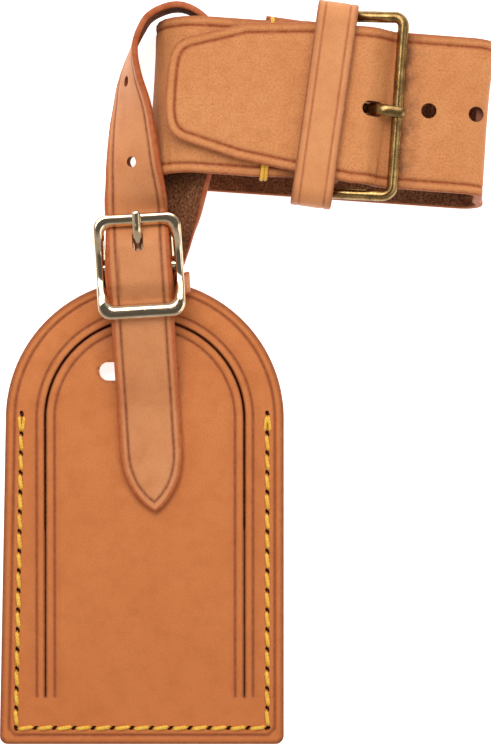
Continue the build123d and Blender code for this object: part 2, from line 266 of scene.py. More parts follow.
def leatherStrip(name, values, places, origins, across, outward, low, high, outline=None):
    # low and high are the strip's two edges across the route at each row
    rows = len(places)
    half = (np.zeros(rows) + values["thickness"])[:, None] / 2
    radius = values["edgeRadius"]
    inFrom = np.array(stripColumns(values))
    underFrom = np.array([radius * s for s in edgeSteps])
    middle = np.linspace(0, 1, values["middleColumns"] + 2)[1:-1]
    top, under = [], []
    for left, width in zip(low, high - low):
        squeeze = min(1.0, 0.96 * width / 2 / inFrom[-1])      # where the strip runs to a point
        near, nearUnder = inFrom * squeeze, underFrom * squeeze
        inner = near[-1] + middle * (width - 2 * near[-1])
        top.append(np.concatenate((near, inner, width - near[::-1])) + left)
        row = np.concatenate((nearUnder, [width * 0.35, width * 0.65], width - nearUnder[::-1]))
        under.append((row + left)[::-1])
    top, under = np.array(top), np.array(under)
    flatTop, fromEdge = sideShape(places, top, low, high, outline)
    flatUnder, fromUnder = sideShape(places, under, low, high, outline)
    line = groove(fromEdge, values["lineIn"], values["lineWidth"])
    topHeight = half - rounded(fromEdge, radius) - values["lineDepth"] * line
    widths = np.concatenate((top, under, top[:, :1]), axis=1)
    heights = np.concatenate((topHeight, -half + rounded(fromUnder, radius), topHeight[:, :1]), axis=1)
    columns = widths.shape[1]
    positions = (origins[:, None, :] + across[:, None, :] * widths[..., None] +
                 outward[:, None, :] * heights[..., None])
    press = np.concatenate((line, np.zeros_like(under), line[:, :1]), axis=1)
    rim = np.concatenate((np.clip(1 - fromEdge / (radius * 1.5), 0, 1),
                          np.clip(1 - fromUnder / (radius * 1.5), 0, 1), np.ones((rows, 1))), axis=1)
    sheet = gridSheet(name, rows, columns)
    flat = np.concatenate((flatTop, flatUnder, flatTop[:, :1]), axis=1)
    placeGrid(sheet, positions, flat, {"press": press, "rim": rim})
    # flesh on the underside, grain everywhere else
    columnOf = np.arange((rows - 1) * (columns - 1)) % (columns - 1)
    isFlesh = (columnOf > top.shape[1] + len(edgeSteps) - 3) & (columnOf < columns - 1 - len(edgeSteps))
    giveMaterials(sheet, *values["materials"])
    sheet.data.polygons.foreach_set("material_index", isFlesh.astype(int))
    closeSeams(sheet)
    smoothByAngle(sheet, 50)
    return sheet


def routeFrames(points, across):
    # unit vectors across and outward at each row, both square to the route
    along = np.gradient(points, axis=0)
    along /= np.linalg.norm(along, axis=1)[:, None]
    across = across - along * (across * along).sum(1)[:, None]
    across /= np.linalg.norm(across, axis=1)[:, None]
    return across, np.cross(across, along)


def newMaterial(name):
    material = bpy.data.materials.new(name)
    material.use_nodes = True
    material.node_tree.nodes.clear()
    output = addNode(material, "ShaderNodeOutputMaterial")
    shader = addNode(material, "ShaderNodeBsdfPrincipled")
    link(material, shader.outputs[0], output.inputs[0])
    return material, shader


def addNode(material, kind, **values):
    node = material.node_tree.nodes.new(kind)
    for key, value in values.items():
        if hasattr(node, key):
            setattr(node, key, value)
        else:
            node.inputs[key.replace("_", " ")].default_value = value
    return node


def link(material, source, target):
    material.node_tree.links.new(source, target)


def placeSource(material, useMap):
    # the piece's own flat map, or its object coordinates
    if useMap:
        return addNode(material, "ShaderNodeUVMap", uv_map="flat").outputs[0]
    return addNode(material, "ShaderNodeTexCoord").outputs["Object"]


def noiseAt(material, source, scale, detail=4.0, roughness=0.55):
    node = addNode(material, "ShaderNodeTexNoise", Scale=scale, Detail=detail, Roughness=roughness)
    link(material, source, node.inputs["Vector"])
    return node.outputs[0]


def rangeOf(material, source, low, high, toLow=0.0, toHigh=1.0):
    node = addNode(material, "ShaderNodeMapRange", clamp=True)
    for socket, value in zip(list(node.inputs)[1:5], (low, high, toLow, toHigh)):
        socket.default_value = value
    link(material, source, node.inputs[0])
    return node.outputs[0]


def mixColours(material, factor, first, second):
    node = addNode(material, "ShaderNodeMix", data_type="RGBA")
    for socket, value in ((node.inputs[6], first), (node.inputs[7], second)):
        if isinstance(value, tuple):
            socket.default_value = (*value, 1)
        else:
            link(material, value, socket)
    link(material, factor, node.inputs[0])
    return node.outputs[2]


def maths(material, operation, first, second):
    node = addNode(material, "ShaderNodeMath", operation=operation)
    for socket, value in zip(node.inputs, (first, second)):
        if isinstance(value, (int, float)):
            socket.default_value = value
        else:
            link(material, value, socket)
    return node.outputs[0]


def bumpFrom(material, height, strength, distance, before=None):
    node = addNode(material, "ShaderNodeBump", Strength=strength, Distance=distance)
    link(material, height, node.inputs["Height"])
    if before is not None:
        link(material, before, node.inputs["Normal"])
    return node.outputs[0]


def attributeOf(material, name):
    return addNode(material, "ShaderNodeAttribute", attribute_name=name).outputs["Fac"]


def cellsAt(material, source, scale):
    node = addNode(material, "ShaderNodeTexVoronoi", Scale=scale, Randomness=1.0)
    link(material, source, node.inputs["Vector"])
    return node.outputs["Distance"]


def linear(*card):
    # from the 0 to 255 values on a colour card
    return tuple(v / 3294.6 if v <= 10.314 else ((v / 255 + 0.055) / 1.055) ** 2.4 for v in card)


def grainLeather(name, values):
    # vegetable-tanned leather, with darker pressed lines and burnished rims read from the piece's attributes
    material, shader = newMaterial(name)
    place = placeSource(material, True)
    perMm = 100.0               # the flat map counts in tenths of a metre
    cloud = noiseAt(material, place, values["cloud"] * perMm, 3.0, 0.6)
    mottle = noiseAt(material, place, values["mottle"] * perMm, 5.0, 0.65)
    colour = mixColours(material, rangeOf(material, cloud, 0.25, 0.75), values["light"], values["deep"])
    parts = addNode(material, "ShaderNodeSeparateXYZ")
    link(material, place, parts.inputs[0])
    if "fade" in values:        # darker towards the bottom
        low, high = values["fade"]
        lower = rangeOf(material, parts.outputs[1], low / perMm, high / perMm, 0.55, 0.0)
        colour = mixColours(material, lower, colour, values["fadeColour"])
    fleck = rangeOf(material, mottle, 0.45, 0.75)
    colour = mixColours(material, maths(material, "MULTIPLY", fleck, values["mottleAmount"]), colour, values["shade"])
    pores = cellsAt(material, place, values["pore"] * perMm)
    poreDark = rangeOf(material, pores, 0.0, 0.35, 1.0, 0.0)
    colour = mixColours(material, maths(material, "MULTIPLY", poreDark, values["poreAmount"]), colour,
                        values["shade"])
    grain = noiseAt(material, place, values["grain"] * perMm, 4.0, 0.6)
    # the grain's valleys are painted darker, as painted shade in them
    valleyShade = rangeOf(material, grain, 0.34, 0.54, values["grainShade"], 0.0)
    colour = mixColours(material, valleyShade, colour, values["shade"])
    specks = cellsAt(material, place, values["speck"] * perMm)
    speckDark = rangeOf(material, specks, 0.012, 0.02, 0.85, 0.0)
    colour = mixColours(material, speckDark, colour, values["speckColour"])
    if "stain" in values:       # left by the metal that lies there
        low, high = values["stain"]
        rise = rangeOf(material, parts.outputs[0], low / perMm, (low + 0.7) / perMm)
        fall = rangeOf(material, parts.outputs[0], (low + 1.0) / perMm, high / perMm, 1.0, 0.0)
        patch = rangeOf(material, noiseAt(material, place, 0.35 * perMm, 4.0, 0.6), 0.4, 0.62, 0.15, 0.8)
        stained = maths(material, "MULTIPLY", maths(material, "MULTIPLY", rise, fall), patch)
        colour = mixColours(material, stained, colour, values["stainColour"])
    uneven = rangeOf(material, noiseAt(material, place, 0.9 * perMm, 3.0), 0.3, 0.7, 0.65, 1.0)
    rim = rangeOf(material, attributeOf(material, "rim"), values["rimFrom"], values["rimTo"])
    for amount, tone in ((attributeOf(material, "press"), values["line"]), (rim, values["rim"])):
        colour = mixColours(material, maths(material, "MULTIPLY", amount, uneven), colour, tone)
    link(material, colour, shader.inputs["Base Color"])
    rough = rangeOf(material, mottle, 0.3, 0.7, values["rough"] - 0.06, values["rough"] + 0.08)
    rough = maths(material, "SUBTRACT", rough, maths(material, "MULTIPLY", rim, values["rimPolish"]))
    link(material, rough, shader.inputs["Roughness"])
    normal = bumpFrom(material, grain, values["grainStrength"], 0.00016)
    normal = bumpFrom(material, pores, values["poreStrength"], 0.0001, normal)
    link(material, normal, shader.inputs["Normal"])
    shader.inputs["Specular IOR Level"].default_value = values["gloss"]
    return material


def fleshLeather(name, values):
    material, shader = newMaterial(name)
    place = placeSource(material, True)
    fuzz = noiseAt(material, place, 160.0, 6.0, 0.75)
    patch = noiseAt(material, place, 22.0, 4.0, 0.6)
    colour = mixColours(material, rangeOf(material, fuzz, 0.42, 0.62), values["deep"], values["light"])
    colour = mixColours(material, rangeOf(material, patch, 0.42, 0.7, 0.0, 0.6), colour, values["deep"])
    rim = rangeOf(material, attributeOf(material, "rim"), 0.2, 0.8)
    colour = mixColours(material, rim, colour, values["rim"])
    link(material, colour, shader.inputs["Base Color"])
    shader.inputs["Roughness"].default_value = 0.92
    shader.inputs["Specular IOR Level"].default_value = 0.08
    link(material, bumpFrom(material, fuzz, 0.9, 0.0004), shader.inputs["Normal"])
    return material


def metal(name, values):
    material, shader = newMaterial(name)
    place = placeSource(material, False)
    worn = noiseAt(material, place, values["patch"], 5.0, 0.65)
    fine = noiseAt(material, place, 2600.0, 3.0, 0.6)
    worn = rangeOf(material, worn, values["wornFrom"], values["wornTo"])
    colour = mixColours(material, worn, values["bright"], values["dull"])
    link(material, colour, shader.inputs["Base Color"])
    shader.inputs["Metallic"].default_value = 1.0
    rough = maths(material, "ADD", rangeOf(material, worn, 0, 1, values["polish"], values["tarnish"]),
                  rangeOf(material, fine, 0.35, 0.65, 0.0, 0.04))
    link(material, rough, shader.inputs["Roughness"])
    link(material, bumpFrom(material, fine, values["scratch"], 0.00003), shader.inputs["Normal"])
    return material


def threadMaterial(name, values):
    # twisted plies show as slanted bands
    material, shader = newMaterial(name)
    place = placeSource(material, False)
    wave = addNode(material, "ShaderNodeTexWave", Scale=values["twist"], Distortion=1.0, Detail=1.0)
    wave.bands_direction = "DIAGONAL"
    link(material, place, wave.inputs["Vector"])
    tone = noiseAt(material, place, 700.0, 3.0)
    colour = mixColours(material, rangeOf(material, tone, 0.35, 0.65), values["light"], values["deep"])
    # the grooves between the plies are painted darker, as painted shade in them
    colour = mixColours(material, rangeOf(material, wave.outputs["Fac"], 0.0, 0.5, 0.45, 0.0), colour, values["gap"])
    link(material, colour, shader.inputs["Base Color"])
    shader.inputs["Roughness"].default_value = 0.5
    link(material, bumpFrom(material, wave.outputs["Fac"], 0.6, 0.0001), shader.inputs["Normal"])
    return material


def plainMaterial(name, light, deep, scale, roughness):
    material, shader = newMaterial(name)
    place = placeSource(material, False)
    tone = noiseAt(material, place, scale, 4.0)
    colour = mixColours(material, rangeOf(material, tone, 0.35, 0.65), light, deep)
    link(material, colour, shader.inputs["Base Color"])
    shader.inputs["Roughness"].default_value = roughness
    link(material, bumpFrom(material, tone, 0.2, 0.00005), shader.inputs["Normal"])
    return material


tagFinish = {"light": linear(216, 133, 75), "deep": linear(204, 119, 63), "shade": linear(180, 96, 46),
             "line": linear(134, 64, 34), "rim": linear(140, 74, 40), "cloud": 0.05, "mottle": 0.22,
             "mottleAmount": 0.45, "pore": 1.3, "poreAmount": 0.25, "grain": 3.0, "grainStrength": 0.6,
             "poreStrength": 0.15, "rough": 0.52, "rimFrom": 0.05, "rimTo": 0.7, "rimPolish": 0.05, "gloss": 0.22,
             "grainShade": 0.42, "speck": 0.055, "speckColour": linear(92, 54, 34)}
strapFinish = dict(tagFinish, light=linear(218, 148, 97), deep=linear(204, 131, 81), shade=linear(182, 106, 62),
                   rim=linear(172, 80, 38), line=linear(124, 56, 32), rimPolish=0.15, mottleAmount=0.4,
                   rimFrom=0.0, rimTo=0.35)
bandFinish = dict(tagFinish, light=linear(221, 151, 97), deep=linear(210, 138, 85), shade=linear(184, 107, 60),
                  line=linear(136, 54, 28), rim=linear(164, 92, 56), mottle=0.3, mottleAmount=0.4, pore=1.9,
                  poreAmount=0.5, grain=2.0, grainStrength=0.85, poreStrength=0.6, grainShade=0.55, gloss=0.08,
                  stain=(54.4, 60.5), stainColour=linear(112, 70, 52))
keeperFinish = dict(tagFinish, light=linear(224, 154, 99), deep=linear(213, 141, 88), shade=linear(188, 112, 64),
                    line=linear(168, 92, 56), rim=linear(150, 84, 52))
fleshFinish = {"light": linear(190, 130, 90), "deep": linear(96, 56, 36), "rim": linear(124, 70, 46)}
tagLeather = grainLeather("tagLeather", dict(tagFinish, fade=(5.0, 95.0), fadeColour=linear(194, 108, 54)))
strapLeather = grainLeather("strapLeather", strapFinish)
bandLeather = grainLeather("bandLeather", bandFinish)
keeperLeather = grainLeather("keeperLeather", keeperFinish)
fleshSide = fleshLeather("fleshSide", fleshFinish)
paleGold = metal("paleGold", {"bright": linear(236, 214, 180), "dull": linear(206, 178, 138), "patch": 180.0,
                              "wornFrom": 0.4, "wornTo": 0.8, "polish": 0.08, "tarnish": 0.2, "scratch": 0.15})
agedBrass = metal("agedBrass", {"bright": linear(196, 160, 100), "dull": linear(104, 76, 44), "patch": 380.0,
                                "wornFrom": 0.22, "wornTo": 0.68, "polish": 0.18, "tarnish": 0.28, "scratch": 0.3})
waxedThread = threadMaterial("waxedThread", {"light": linear(255, 204, 72), "deep": linear(240, 176, 54),
                                             "gap": linear(150, 92, 24), "twist": 900.0})
burnishedEdge = plainMaterial("burnishedEdge", linear(150, 82, 46), linear(104, 50, 27), 500.0, 0.4)
# the awl holes' walls are painted dark brown, as painted shade inside the holes
paintedHoleShade = plainMaterial("paintedHoleShade", linear(128, 66, 36), linear(96, 48, 26), 900.0, 0.9)
cardStock = plainMaterial("cardStock", linear(232, 226, 210), linear(222, 214, 196), 500.0, 0.8)
print("materials made")


# the tag's two layers
tagShape = {"halfWidth": tagHalfWidth, "flare": 1.5, "straight": 75.0, "corner": 2.0, "slitRadius": 22.9,
            "slitEnd": 11.0, "layer": 1.8, "borderLine": 2.1, "lineWidth": 0.36, "lineDepth": 0.26,
            "insideLine": 2.15, "outsideLine": 2.0, "slot": (-1.4, 85.9, 18.2, 4.3), "edgeRound": 0.5,
            "seam": ((-28.25, 76.2), (-29.7, 3.8), (28.2, 3.8), (28.2, 76.2)), "seamCounts": (16, 13, 16),
            "awl": (1.45, 0.85, 2.4)}


def tagPlace(points):
    # from the tag's own flat to the bench, leaning with its bottom edge down
    x, y, z = points[..., 0], points[..., 1], points[..., 2]
    leanY = y * math.cos(tagLean) - z * math.sin(tagLean)
    leanZ = y * math.sin(tagLean) + z * math.cos(tagLean)
    return np.stack((x + tagMiddle, leanY + tagBottom, leanZ), axis=-1)


def panelGrid(values):
    # rows run up one leg, round the arch and down the other; columns run in from the edge to the middle
    width, arch = values["halfWidth"], values["straight"]
    legRows = ([0.0, 0.08, 0.25, 0.5, 0.9, 1.3] + evenly(1.6, 2.9, 0.13) + evenly(3.4, 9.0, 0.9) +
               evenly(9.5, 12.5, 0.25) + evenly(13.4, arch - 1, 1.25))
    turns = evenly(180.0, 0.0, 2.0)
    slit = width - values["slitRadius"]
    outer = [0.0, 0.06, 0.16, 0.3, 0.5, 0.85, 1.2] + evenly(1.45, 2.75, 0.13) + [3.1, 3.6, 4.2, 4.8]
    # denser at the slit and at the pressed line on each side of it
    lips, aroundLine = [0.25, 0.34, 0.5, 0.8, 1.2], [k * 0.13 for k in range(-4, 5)]
    before = sorted([-k for k in lips] + [-values["outsideLine"] + k for k in aroundLine])
    after = sorted(lips + [values["insideLine"] + k for k in aroundLine])
    spine = evenly(slit + 3.0, width, 0.85)[1:]
    depth = np.array(outer + [slit + k for k in before + after] + spine)
    slitAt = len(outer) + len(before) - 1
    rows = []
    for side, ys in ((-1, legRows), (0, turns), (1, legRows[::-1])):
        for value in ys:
            if side == 0:
                a, r = math.radians(value), width - depth
                x, y = r * math.cos(a), arch + r * math.sin(a)
            else:
                edge = width + (values["flare"] * (1 - value / arch) if side < 0 else 0)
                if value < values["corner"]:
                    edge -= values["corner"] - math.sqrt(values["corner"] ** 2 - (values["corner"] - value) ** 2)
                blend = np.clip((slit - 2.6 - depth) / (slit - 2.6 - 4.8), 0, 1)
                x = side * (width - depth + (edge - width) * blend)
                if value < 50:          # the slit closes up towards its ends
                    pair = x[slitAt:slitAt + 2]
                    x[slitAt:slitAt + 2] = pair.mean() + (pair - pair.mean()) * 0.55
                x[-1] = 0
                y = np.full(len(depth), float(value))
            rows.append(np.stack((x, y), axis=-1))
    return np.array(rows), slitAt


def panelOutline(values, inward):
    # the edge moved inward, as a line of flat points
    w, a = values["halfWidth"], values["straight"]
    left = [(-(w + values["flare"] * (1 - y / a)) + inward, y) for y in (inward + 1.5, 30, a)]
    arch = [((w - inward) * math.cos(math.radians(t)), a + (w - inward) * math.sin(math.radians(t)))
            for t in range(180, -1, -3)]
    right = [(w - inward, y) for y in (a, 30, inward + 1.5)]
    bottom = [(w - inward - 1.5, inward), (-(w + values["flare"]) + inward + 1.5, inward)]
    return left + arch + right + bottom + left[:1]


def slitLine(values, outward):
    # the slit moved outward, as a line of flat points
    r, a = values["slitRadius"] + outward, values["straight"]
    arch = [(r * math.cos(math.radians(t)), a + r * math.sin(math.radians(t))) for t in range(180, -1, -3)]
    return [(-r, values["slitEnd"])] + arch + [(r, values["slitEnd"])]


def slotDistance(points, values):
    x, y, long, tall = values["slot"]
    dx = np.clip(np.abs(points[..., 0] - x) - (long - tall) / 2, 0, None)
    return np.hypot(dx, points[..., 1] - y) - tall / 2


def leatherPanel(name, values, front, materials):
    flat, slitAt = panelGrid(values)
    rows, columns = flat.shape[:2]

    def lineAt(outline):
        return groove(outlineDistance(flat.reshape(-1, 2), outline), 0, values["lineWidth"]).reshape(rows, columns)

    edge = outlineDistance(flat.reshape(-1, 2), panelOutline(values, 0.0)).reshape(rows, columns)
    edge[:, 0] = 0
    slot = np.abs(slotDistance(flat, values))
    press = lineAt(panelOutline(values, values["borderLine"]))
    rim = np.maximum(np.clip(1 - edge / 1.15, 0, 1), np.clip(1 - slot / 0.6, 0, 1) * 0.9)
    height = -values["edgeRound"] * (1 - np.sqrt(np.clip(1 - (1 - np.clip(edge / 0.55, 0, 1)) ** 2, 0, 1)))
    height = height - values["lineDepth"] * press
    height = height - 0.25 * np.clip(1 - slot / 0.5, 0, 1) ** 2
    if front:
        lines = np.maximum(lineAt(slitLine(values, -values["insideLine"])),
                           lineAt(slitLine(values, values["outsideLine"])))
        press = np.maximum(press, lines)
        slit = outlineDistance(flat.reshape(-1, 2), slitLine(values, 0.0)).reshape(rows, columns)
        rim = np.maximum(rim, np.clip(1 - (slit - 0.2) / 0.45, 0, 1))
        height = height - values["lineDepth"] * lines - 0.22 * np.clip(1 - (slit - 0.2) / 0.4, 0, 1) ** 2
    z = 2 * values["layer"] + height if front else -height
    sheet = gridSheet(name, rows, columns)
    placeGrid(sheet, tagPlace(np.concatenate((flat, z[..., None]), axis=-1)), flat, {"press": press, "rim": rim})
    giveMaterials(sheet, *materials)
    if front:
        # the slit's own faces go
        editMode(sheet, "FACE", "DESELECT")
        leaveEdit()
        upTo = (flat[:-1, slitAt, 1] + flat[1:, slitAt, 1]) / 2
        for row in np.nonzero(upTo > values["slitEnd"])[0]:
            sheet.data.polygons[int(row * (columns - 1) + slitAt)].select = True
        bpy.ops.object.mode_set(mode="EDIT")
        bpy.ops.mesh.delete(type="ONLY_FACE")
        leaveEdit()
    editMode(sheet, "VERT")
    bpy.ops.mesh.remove_doubles(threshold=0.01 * mm)
    bpy.ops.mesh.select_mode(type="FACE")
    bpy.ops.mesh.select_all(action="SELECT")
    toBack = -values["layer"] if front else values["layer"]
    bpy.ops.mesh.extrude_region_move(TRANSFORM_OT_translate={"value": (0, 0, toBack * mm)})
    leaveEdit()
    # the hidden face is flat again
    mesh = sheet.data
    places = np.zeros(len(mesh.vertices) * 3)
    mesh.vertices.foreach_get("co", places)
    places = places.reshape(-1, 3)
    moved = np.array([v.select for v in mesh.vertices])
    hidden = (values["layer"] + (places[:, 1] / mm - tagBottom) * math.tan(tagLean)) * mm
    places[moved, 2] = hidden[moved] + (0.01 if front else -0.01) * mm
    mesh.vertices.foreach_set("co", places.ravel())
    mesh.update()
    editMode(sheet, "VERT")
    bpy.ops.mesh.normals_make_consistent(inside=False)
    leaveEdit()
    return sheet


def pillCutter(name, centre, along, up, long, tall, depth):
    # a round-ended bar that cuts a slot; centre in metres, directions as unit vectors
    pickNothing()
    bpy.ops.mesh.primitive_cylinder_add(vertices=28, radius=tall / 2 * mm, depth=depth * mm)
    pill = nameIt(bpy.context.object, name)
    for vertex in pill.data.vertices:
        vertex.co.x += math.copysign((long - tall) / 2 * mm, vertex.co.x + 1e-7)
    along, up = Vector(along).normalized(), Vector(up).normalized()
    side = up.cross(along)
    for vertex in pill.data.vertices:
        c = vertex.co.copy()
        vertex.co = Vector(centre) + along * c.x + side * c.y + up * c.z
    pill.data.update()
    return pill


stitchHoleSlot, cutEdgeSlot = 1, 2      # places of those materials in a piece's list


def cutWith(obj, cutter, slot):
    giveMaterials(cutter, *obj.data.materials)
    for polygon in cutter.data.polygons:
        polygon.material_index = slot
    finishModifier(obj, "BOOLEAN", operation="DIFFERENCE", object=cutter, solver="EXACT")
    bpy.data.objects.remove(cutter)


def stitchPlaces(values):
    # the middle, heading and length of every stitch, in the tag's flat
    ends = [np.array(p) for p in values["seam"]]
    places = []
    for start, end, count in zip(ends, ends[1:], values["seamCounts"]):
        step = (end - start) / count
        for k in range(count):
            places.append((start + step * (k + 0.5), step / np.linalg.norm(step), float(np.linalg.norm(step))))
    return places


tagStitches = stitchPlaces(tagShape)
tagUp = np.array((0.0, -math.sin(tagLean), math.cos(tagLean)))
panelMaterials = (tagLeather, paintedHoleShade, burnishedEdge)
frontPanel = leatherPanel("frontPanel", tagShape, True, panelMaterials)
backPanel = leatherPanel("backPanel", tagShape, False, panelMaterials)


def seamHoles(name, height):
    # a small slanted awl hole at both ends of every stitch, once where two stitches meet
    places = []
    for middle, heading, pitch in tagStitches:
        for sign in (-1, 1):
            point = middle + heading * pitch / 2 * sign
            if all(np.linalg.norm(point - other) > 1.0 for other, _ in places):
                places.append((point, heading))
    holes = []
    for point, heading in places:
        slant = np.array((heading[0] * 0.95 - heading[1] * 0.3, heading[1] * 0.95 + heading[0] * 0.3, 0))
        centre = tagPlace(np.array((point[0], point[1], height))) * mm
        holes.append(pillCutter("awl", centre, slant, tagUp, *tagShape["awl"]))
    return joinPieces(holes, name)


slotX, slotY, slotLong, slotTall = tagShape["slot"]
for panel, height in ((frontPanel, 2 * tagShape["layer"]), (backPanel, 0.0)):
    slotCentre = tagPlace(np.array((slotX, slotY, tagShape["layer"]))) * mm
    cutWith(panel, pillCutter("slotCut", slotCentre, (1, 0, 0), tagUp, slotLong, slotTall, 12.0), cutEdgeSlot)
    cutWith(panel, seamHoles("awlHoles", height), stitchHoleSlot)
    smoothByAngle(panel, 45)
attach(frontPanel, "tag")
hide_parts("front_panel")
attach(backPanel, "tag")
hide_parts("back_panel")
print("tag panels made")


def rodAlong(name, points, halfWide, halfThick, ups, sides=14, power=2.0, closed=False):
    # a rounded-box section carried along the points; sizes may change from point to point
    points = np.array(points, float)
    count = len(points)
    if closed:
        along = np.roll(points, -1, 0) - np.roll(points, 1, 0)
    else:
        along = np.gradient(points, axis=0)
    along /= np.linalg.norm(along, axis=1)[:, None]
    ups = np.zeros((count, 3)) + np.array(ups, float)
    side = np.cross(along, ups)
    side /= np.linalg.norm(side, axis=1)[:, None]
    up = np.cross(side, along)
    wide, thick = np.zeros(count) + halfWide, np.zeros(count) + halfThick
    angles = np.linspace(0, 2 * math.pi, sides + 1)
    c, s = (np.sign(v) * np.abs(v) ** (2 / power) for v in (np.cos(angles), np.sin(angles)))
    ring = (points[:, None, :] + side[:, None, :] * (wide[:, None] * c)[..., None] +
            up[:, None, :] * (thick[:, None] * s)[..., None])
    if closed:
        ring = np.concatenate((ring, ring[:1]))
    rod = gridSheet(name, ring.shape[0], ring.shape[1])
    flat = np.stack(np.meshgrid(np.arange(ring.shape[0]) * 0.3, angles, indexing="ij"), axis=-1)
    placeGrid(rod, ring, flat, {})
    closeSeams(rod, 0.004)
    smoothByAngle(rod, 50)
    return rod


def stitchOnce(name, middle, heading, up, pitch, values):
    # a slanted thread that dives into its hole at each end
    heading = heading / np.linalg.norm(heading)
    side = np.cross(up, heading)
    slant = heading + side * values["slant"]
    slant /= np.linalg.norm(slant)
    reach = pitch / 2 - values["gap"]
    t = np.linspace(-1, 1, 15)
    lift = values["rise"] - values["dive"] * np.abs(t) ** 6
    line = middle + slant * (t * reach)[:, None] + up * lift[:, None]
    wide = values["wide"] * (1 - 0.35 * np.abs(t) ** 4)
    return rodAlong(name, line, wide, wide * 0.72, up, 12)


threadShape = {"wide": 0.46, "rise": 0.22, "dive": 1.2, "slant": 0.16, "gap": 0.42, "sunk": 0.35, "beside": 0.42}
stitches = []
for index, (middle, heading, pitch) in enumerate(tagStitches):
    way = np.array((heading[0], heading[1] * math.cos(tagLean), heading[1] * math.sin(tagLean)))
    # on the back it is pulled down into the leather, so the tag lies flat
    for height, up in ((2 * tagShape["layer"], tagUp), (threadShape["sunk"], -tagUp)):
        place = tagPlace(np.array((middle[0], middle[1], height)))
        if up is tagUp and index in (0, len(tagStitches) - 1):
            # the seam starts and ends with the thread laid twice
            for sign in (-1, 1):
                twin = dict(threadShape, wide=0.38, slant=-0.12 * sign)
                beside = np.cross(up, way) * threadShape["beside"] * sign
                stitches.append(stitchOnce("stitch", place + beside, way, up, pitch, twin))
        else:
            stitches.append(stitchOnce("stitch", place, way, up, pitch, threadShape))
tagThread = joinPieces(stitches, "tagThread")
giveMaterials(tagThread, waxedThread)
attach(tagThread, "tag")
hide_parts("tag_stitching")
print("tag stitched")


# the narrow strap, from its pointed tip over the buckle, round the band, under the tag and up to its fold
strapShape = {"width": 14.4, "thickness": 1.5, "skived": 0.9, "turn": 3.5, "bar": (-1.05, 109.9), "barHeight": 11.0,
              "lineIn": 2.0, "lineWidth": 0.33, "lineDepth": 0.2, "edgeRadius": 0.55, "middleColumns": 9,
              "tip": 14.0, "hole": 2.5, "over": 10.75, "under": 0.85,
              "materials": (strapLeather, fleshSide, burnishedEdge)}
acrossStrap, alongStrap = turned(strapShape["turn"])
barSpot = benchPoint(*strapShape["bar"], 0.0)


def strapPlace(along, up, side=0.0):
    return barSpot + alongStrap * along + acrossStrap * side + upward * up


# x, y, z and how far the width stands up, for the loop through the band
loopStations = [(-1.9, 127.2, 13.0, 17), (-2.4, 133.5, 14.4, 32), (-2.7, 139.3, 13.6, 42), (-3.0, 145.4, 12.0, 53),
                (-3.4, 152.1, 10.6, 69), (-2.5, 159.5, 9.9, 86), (-0.6, 164.2, 9.8, 90), (1.1, 166.7, 9.8, 90),
                (4.5, 168.6, 9.8, 90), (7.7, 169.2, 9.8, 90), (10.6, 168.5, 9.8, 90), (13.4, 166.7, 9.8, 90),
                (15.4, 164.4, 9.8, 90), (16.4, 160.5, 9.8, 89), (16.2, 154.0, 9.8, 84), (14.9, 147.0, 9.7, 74),
                (13.0, 140.5, 9.4, 62), (11.6, 134.5, 8.8, 52), (10.0, 130.2, 8.2, 46), (7.9, 126.0, 6.5, 35),
                (5.2, 121.0, 3.9, 20), (3.4, 116.0, 2.2, 9), (1.8, 111.5, 1.25, 2), (0.7, 108.0, 0.9, 0),
                (0.0, 105.2, 0.85, 0)]


def standing(angle):
    a = math.radians(angle)
    return np.array((math.cos(a), 0.0, math.sin(a)))


def strapRoute(values):
    # each row: where the middle of the strap is, the way across it, and its thickness there
    bar, over, under = values["barHeight"], values["over"], values["under"]
    thickness, skived = values["thickness"], values["skived"]
    onBar = bar + 2.75
    free = roundedPath([(-56.5, 5.7), (-32, 6.4), (-26, 8.5), (-11.5, 11.0), (-7.6, 11.05), (-3.8, onBar),
                        (5.1, onBar), (9.0, over), (13.0, over)], [20, 20, 12, 2.2, 2.2, 2.2, 2.2])
    rows = [np.concatenate((strapPlace(s, z), acrossStrap, [thickness])) for s, z in free]
    leaving, arriving = ([np.concatenate((strapPlace(s, z), acrossStrap)) for s in pair]
                         for pair, z in (((9.0, 13.0), over), ((-8.0, -12.0), under)))
    loop = [np.concatenate((benchPoint(x, y, z), standing(a))) for x, y, z, a in loopStations]
    steps = 8
    rows += [np.concatenate((p, [thickness]))
             for p in throughPoints(leaving + loop + arriving, steps)[steps + 1:-steps - 1]]
    reach = 0.9 + 0.1 + skived / 2      # the bar, its play and half the leather round it
    back = roundedPath([(-8.0, under), (-24.6, under), (-24.6, 6.8), (-19.0, 6.85), (-13.8, 8.5), (-4.6, 8.6),
                        (-1.3, bar + reach), (reach, bar + reach), (reach, bar - reach), (-0.6, bar - reach),
                        (-4.2, 7.25), (-13.0, 7.25)],
                       [1.6, 1.6, 6, 6, 1.5, 1.5, reach - 0.01, reach - 0.01, 1.2, 2.5])
    folded = False
    for s, z in back:
        # thinned where it nears the bar, and thin all along the fold
        folded = folded or (s > -4.6 and z > 8.0)
        here = thickness if z < 8.0 else float(np.interp(s, (-9.0, -5.0), (thickness, skived)))
        rows.append(np.concatenate((strapPlace(s, z), acrossStrap, [skived if folded else here])))
    return rows


def bezierRun(a, b, c, d, count=24):
    t = np.linspace(0, 1, count)[:, None]
    a, b, c, d = (np.array(p, float) for p in (a, b, c, d))
    return (1 - t) ** 3 * a + 3 * t * (1 - t) ** 2 * b + 3 * t * t * (1 - t) * c + t ** 3 * d


def stripFromRoute(name, route, values, low, high, outline, places):
    at = alongRoute(route, places)
    across, outward = routeFrames(at[:, :3], at[:, 3:6])
    shape = dict(values, thickness=at[:, 6])
    return leatherStrip(name, shape, places, at[:, :3], across, outward, low, high, outline)


